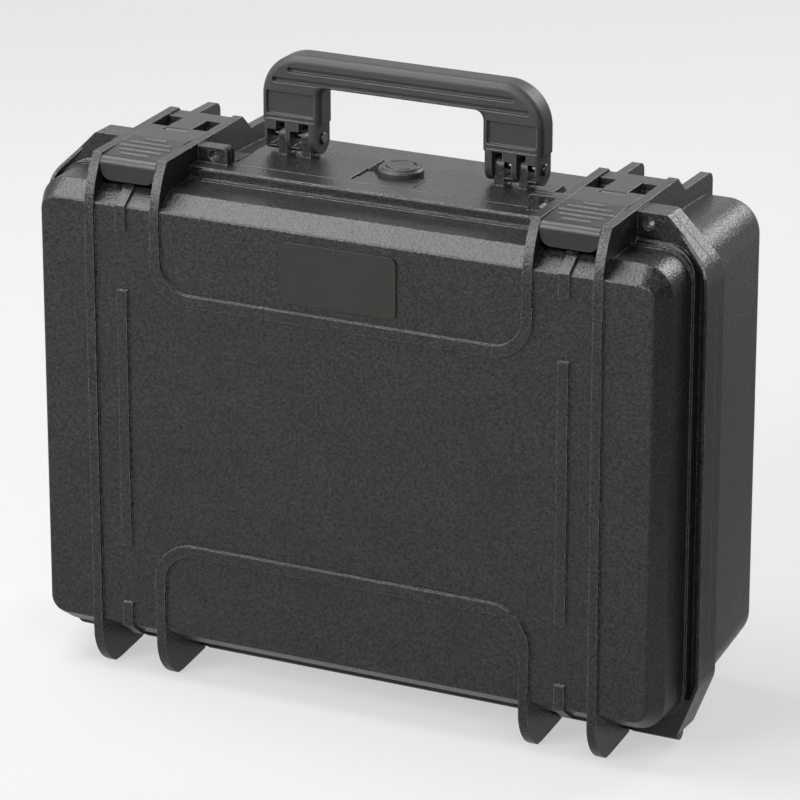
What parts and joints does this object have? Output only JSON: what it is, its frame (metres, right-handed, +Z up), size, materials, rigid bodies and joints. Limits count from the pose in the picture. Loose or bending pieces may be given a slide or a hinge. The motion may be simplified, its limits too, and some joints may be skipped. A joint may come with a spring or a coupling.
{
  "type": "laptop hard case",
  "caption": "Waterproof laptop hard case with a foam-lined hinged lid, over-centre latches, a folding handle and a purge valve.",
  "frame": {"origin": "on the ground under the middle of the case's bounding box", "axes": "+X along the hinge, to the right as the lid is seen from its front; -Y out of the lid's panel; +Z up towards the handle"},
  "size_m": [0.47, 0.174, 0.4155],
  "materials": {
    "shell_plastic": "fine spark-eroded texture, charcoal",
    "handle_plastic": "satin moulded black",
    "latch_plastic": "smooth satin dark grey",
    "valve_plastic": "satin moulded black",
    "label": "plain dark printed label, bare",
    "seal_rubber": "matt sealing rubber",
    "steel": "drawn stainless pin",
    "foam": "open-cell foam, dark grey"
  },
  "bodies": {
    "base": {"base_shell": "shell_plastic", "base_foam": "foam", "hinge_pin": "steel", "handle_pin_left": "steel", "handle_pin_right": "steel", "latch_pin_left": "steel", "latch_pin_right": "steel", "valve_body": "valve_plastic", "valve_washer": "seal_rubber", "valve_nut": "valve_plastic", "valve_o_ring": "seal_rubber"},
    "lid": {"lid_shell": "shell_plastic", "lid_gasket": "seal_rubber", "lid_foam": "foam", "label_plate": "label"},
    "handle": {"handle": "handle_plastic"},
    "latch_link_left": {"latch_link_left": "latch_plastic", "lever_pin_left": "steel"},
    "latch_link_right": {"latch_link_right": "latch_plastic", "lever_pin_right": "steel"},
    "latch_lever_left": {"latch_lever_left": "latch_plastic"},
    "latch_lever_right": {"latch_lever_right": "latch_plastic"},
    "valve_knob": {"valve_knob": "valve_plastic"}
  },
  "joints": [
    {"name": "lid_hinge", "type": "hinge", "parent": "base", "child": "lid", "pos_m": [0, -0.0275, 0.0075], "axis": [1, 0, 0], "range_deg": [0, 100]},
    {"name": "handle_pivot", "type": "hinge", "parent": "base", "child": "handle", "pos_m": [0, 0.0125, 0.359], "axis": [1, 0, 0], "range_deg": [-88, 88]},
    {"name": "link_pivot_left", "type": "hinge", "parent": "base", "child": "latch_link_left", "pos_m": [-0.156, 0.021, 0.3496], "axis": [-1, 0, 0], "range_deg": [0, 35]},
    {"name": "lever_pivot_left", "type": "hinge", "parent": "latch_link_left", "child": "latch_lever_left", "pos_m": [-0.156, -0.008, 0.3544], "axis": [-1, 0, 0], "range_deg": [0, 95]},
    {"name": "link_pivot_right", "type": "hinge", "parent": "base", "child": "latch_link_right", "pos_m": [0.156, 0.021, 0.3496], "axis": [-1, 0, 0], "range_deg": [0, 35]},
    {"name": "lever_pivot_right", "type": "hinge", "parent": "latch_link_right", "child": "latch_lever_right", "pos_m": [0.156, -0.008, 0.3544], "axis": [-1, 0, 0], "range_deg": [0, 95]},
    {"name": "valve_turn", "type": "hinge", "parent": "base", "child": "valve_knob", "pos_m": [0, 0.005, 0.342], "axis": [0, 0, 1], "range_deg": [0, 180]}
  ]
}
